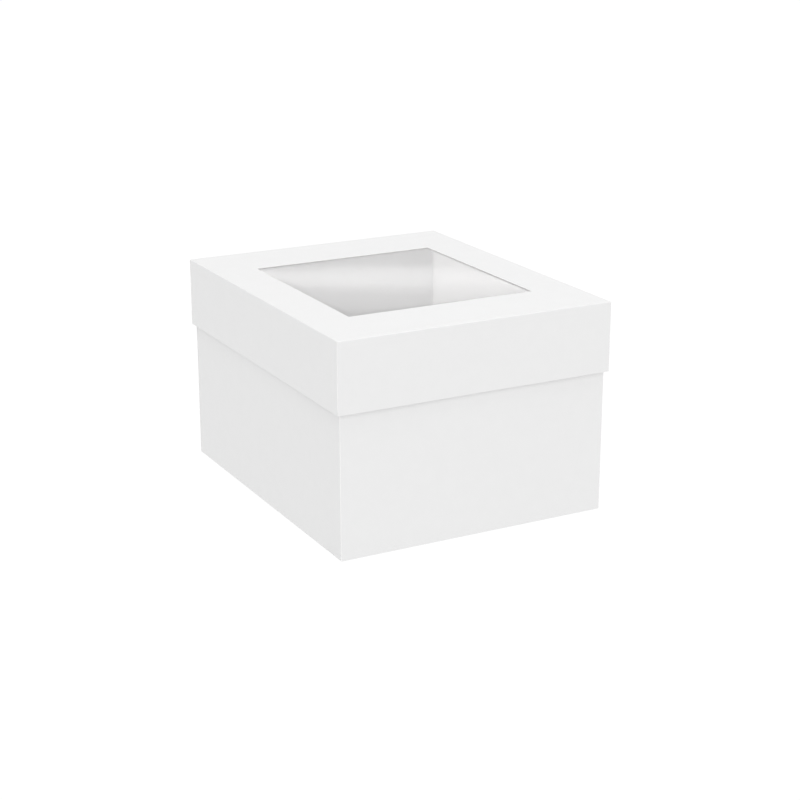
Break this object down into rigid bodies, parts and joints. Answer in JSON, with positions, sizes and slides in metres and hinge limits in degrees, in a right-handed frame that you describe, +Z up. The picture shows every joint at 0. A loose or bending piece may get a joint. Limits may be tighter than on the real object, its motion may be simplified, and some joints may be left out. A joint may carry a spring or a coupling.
{
  "type": "window cake box",
  "caption": "White board cake box: base tray with rolled double end walls and corner flaps locked inside, and a lift-off lid whose top holds a clear film window.",
  "frame": {"origin": "middle of the base tray's underside, on the surface it stands on", "axes": "+X along the front from left to right, +Y from front to back along the longer side, +Z up, the way the lid lifts"},
  "size_m": [0.2604, 0.3114, 0.1901],
  "materials": {
    "board": "satin",
    "film": "polished",
    "glue": "satin"
  },
  "bodies": {
    "base": {"base_floor": "board", "base_left_wall": "board", "base_right_wall": "board", "base_front_outer_wall": "board", "base_front_rim": "board", "base_front_inner_wall": "board", "base_front_left_flap": "board", "base_front_right_flap": "board", "base_back_outer_wall": "board", "base_back_rim": "board", "base_back_inner_wall": "board", "base_back_left_flap": "board", "base_back_right_flap": "board"},
    "lid": {"lid_top": "board", "lid_front_skirt": "board", "lid_back_skirt": "board", "lid_left_skirt": "board", "lid_right_skirt": "board", "lid_front_left_flap": "board", "lid_front_right_flap": "board", "lid_back_left_flap": "board", "lid_back_right_flap": "board", "lid_front_left_glue": "glue", "lid_front_right_glue": "glue", "lid_back_left_glue": "glue", "lid_back_right_glue": "glue", "window_glue": "glue", "window_film": "film"}
  },
  "joints": [
    {"name": "lid_lift", "type": "slide", "parent": "base", "child": "lid", "axis": [0, 0, 1], "range_m": [0, 0.09]}
  ]
}
